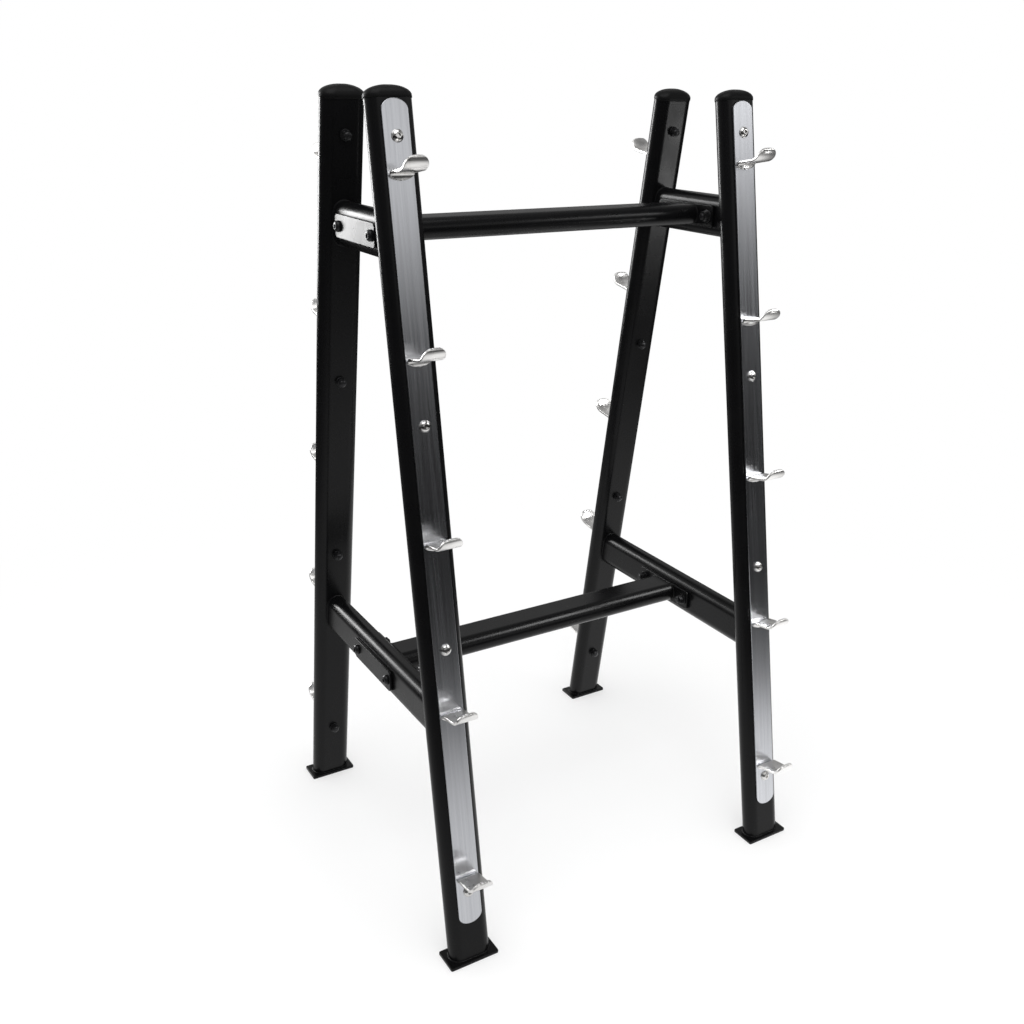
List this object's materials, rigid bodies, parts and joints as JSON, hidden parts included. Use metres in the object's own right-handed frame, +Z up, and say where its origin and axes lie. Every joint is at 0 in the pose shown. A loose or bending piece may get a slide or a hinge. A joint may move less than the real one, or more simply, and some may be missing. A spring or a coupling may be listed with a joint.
{
  "type": "barbell storage rack",
  "caption": "Freestanding two-sided storage rack for fixed barbells: A-shaped oval-tube side frames joined by crossbars, with S-bent hooks on bolted steel guard strips",
  "frame": {"origin": "centre of the rack's footprint on the floor, under the crossbars", "axes": "+Z up, +X to the right along the stored bars, +Y from the front hooks to the rear hooks"},
  "size_m": [0.811, 0.812, 1.5104],
  "materials": {
    "frame": "satin black powder coat",
    "guard_strips": "brushed lengthwise",
    "hooks": "bright nickel plate",
    "bolts": "black zinc plate",
    "end_caps": "fine matte"
  },
  "bodies": {
    "root": {"front_left_upright": "frame", "front_left_cap": "end_caps", "front_left_guard_strip": "guard_strips", "front_left_hook_1": "hooks", "front_left_hook_2": "hooks", "front_left_hook_3": "hooks", "front_left_hook_4": "hooks", "front_left_hook_5": "hooks", "front_left_foot": "frame", "rear_left_upright": "frame", "rear_left_cap": "end_caps", "rear_left_guard_strip": "guard_strips", "rear_left_hook_1": "hooks", "rear_left_hook_2": "hooks", "rear_left_hook_3": "hooks", "rear_left_hook_4": "hooks", "rear_left_hook_5": "hooks", "rear_left_foot": "frame", "left_upper_brace": "frame", "left_upper_clamp_plate": "frame", "left_upper_crossbar_flange": "frame", "left_upper_rear_bolt": "bolts", "left_upper_front_bolt": "bolts", "left_lower_brace": "frame", "left_lower_clamp_plate": "frame", "left_lower_crossbar_flange": "frame", "left_lower_rear_bolt": "bolts", "left_lower_front_bolt": "bolts", "front_right_upright": "frame", "front_right_cap": "end_caps", "front_right_guard_strip": "guard_strips", "front_right_hook_1": "hooks", "front_right_hook_2": "hooks", "front_right_hook_3": "hooks", "front_right_hook_4": "hooks", "front_right_hook_5": "hooks", "front_right_foot": "frame", "rear_right_upright": "frame", "rear_right_cap": "end_caps", "rear_right_guard_strip": "guard_strips", "rear_right_hook_1": "hooks", "rear_right_hook_2": "hooks", "rear_right_hook_3": "hooks", "rear_right_hook_4": "hooks", "rear_right_hook_5": "hooks", "rear_right_foot": "frame", "right_upper_brace": "frame", "right_upper_clamp_plate": "frame", "right_upper_crossbar_flange": "frame", "right_upper_front_bolt": "bolts", "right_upper_rear_bolt": "bolts", "right_lower_brace": "frame", "right_lower_clamp_plate": "frame", "right_lower_crossbar_flange": "frame", "right_lower_front_bolt": "bolts", "right_lower_rear_bolt": "bolts", "upper_crossbar": "frame", "lower_crossbar": "frame"}
  },
  "joints": []
}
